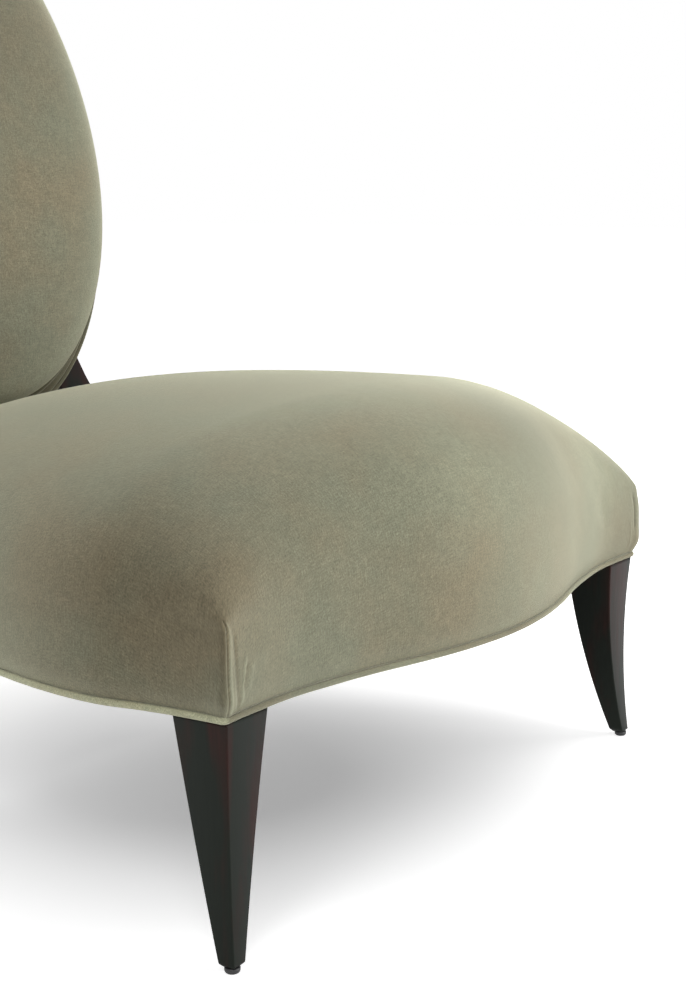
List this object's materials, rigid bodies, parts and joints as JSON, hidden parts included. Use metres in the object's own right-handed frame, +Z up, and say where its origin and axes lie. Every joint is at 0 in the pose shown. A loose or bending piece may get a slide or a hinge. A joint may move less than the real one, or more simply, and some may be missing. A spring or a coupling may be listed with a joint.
{
  "type": "slipper chair",
  "caption": "Armless upholstered slipper chair: bowed crowned seat on sabre legs, reclined oval back carried by splayed rear posts.",
  "frame": {"origin": "on the floor, under the centre of the chair's bounding box", "axes": "+Z up; the sitter faces -Y; +X to the right of someone who looks at the chair from its front"},
  "size_m": [0.7786, 0.8426, 0.9799],
  "materials": {
    "velvet": "matte",
    "dark_wood": "satin",
    "frame_wood": "matte",
    "foam": "matte",
    "fibre_wadding": "matte",
    "webbing": "matte",
    "dust_cloth": "matte",
    "steel": "satin",
    "nylon": "satin"
  },
  "bodies": {
    "root": {"front_rail": "frame_wood", "rear_rail": "frame_wood", "side_rail_left": "frame_wood", "side_rail_right": "frame_wood", "corner_block_front_left": "frame_wood", "corner_block_front_right": "frame_wood", "corner_block_rear_left": "frame_wood", "corner_block_rear_right": "frame_wood", "front_leg_left": "dark_wood", "front_leg_right": "dark_wood", "back_post_left": "dark_wood", "back_post_right": "dark_wood", "glide_front_left": "nylon", "glide_front_right": "nylon", "glide_rear_left": "nylon", "glide_rear_right": "nylon", "leg_bolt_left": "steel", "leg_bolt_right": "steel", "post_bolt_left_inner": "steel", "post_bolt_left_outer": "steel", "post_bolt_right_inner": "steel", "post_bolt_right_outer": "steel", "post_dowel_left": "frame_wood", "post_dowel_right": "frame_wood", "seat_strap_long_1": "webbing", "seat_strap_long_2": "webbing", "seat_strap_long_3": "webbing", "seat_strap_long_4": "webbing", "seat_strap_long_5": "webbing", "seat_strap_cross_1": "webbing", "seat_strap_cross_2": "webbing", "seat_strap_cross_3": "webbing", "seat_strap_cross_4": "webbing", "seat_strap_cross_5": "webbing", "seat_foam": "foam", "seat_cover": "velvet", "seat_wadding": "fibre_wadding", "seat_welt": "velvet", "seat_welt_rear": "velvet", "dust_cover": "dust_cloth", "back_frame_top": "frame_wood", "back_frame_bottom": "frame_wood", "back_frame_left": "frame_wood", "back_frame_right": "frame_wood", "back_strap_upright_1": "webbing", "back_strap_upright_2": "webbing", "back_strap_upright_3": "webbing", "back_strap_cross_1": "webbing", "back_strap_cross_2": "webbing", "back_strap_cross_3": "webbing", "back_foam": "foam", "back_cover": "velvet", "back_band": "velvet", "back_seam_welt": "velvet", "back_rim_welt": "velvet", "outside_back": "velvet"}
  },
  "joints": []
}
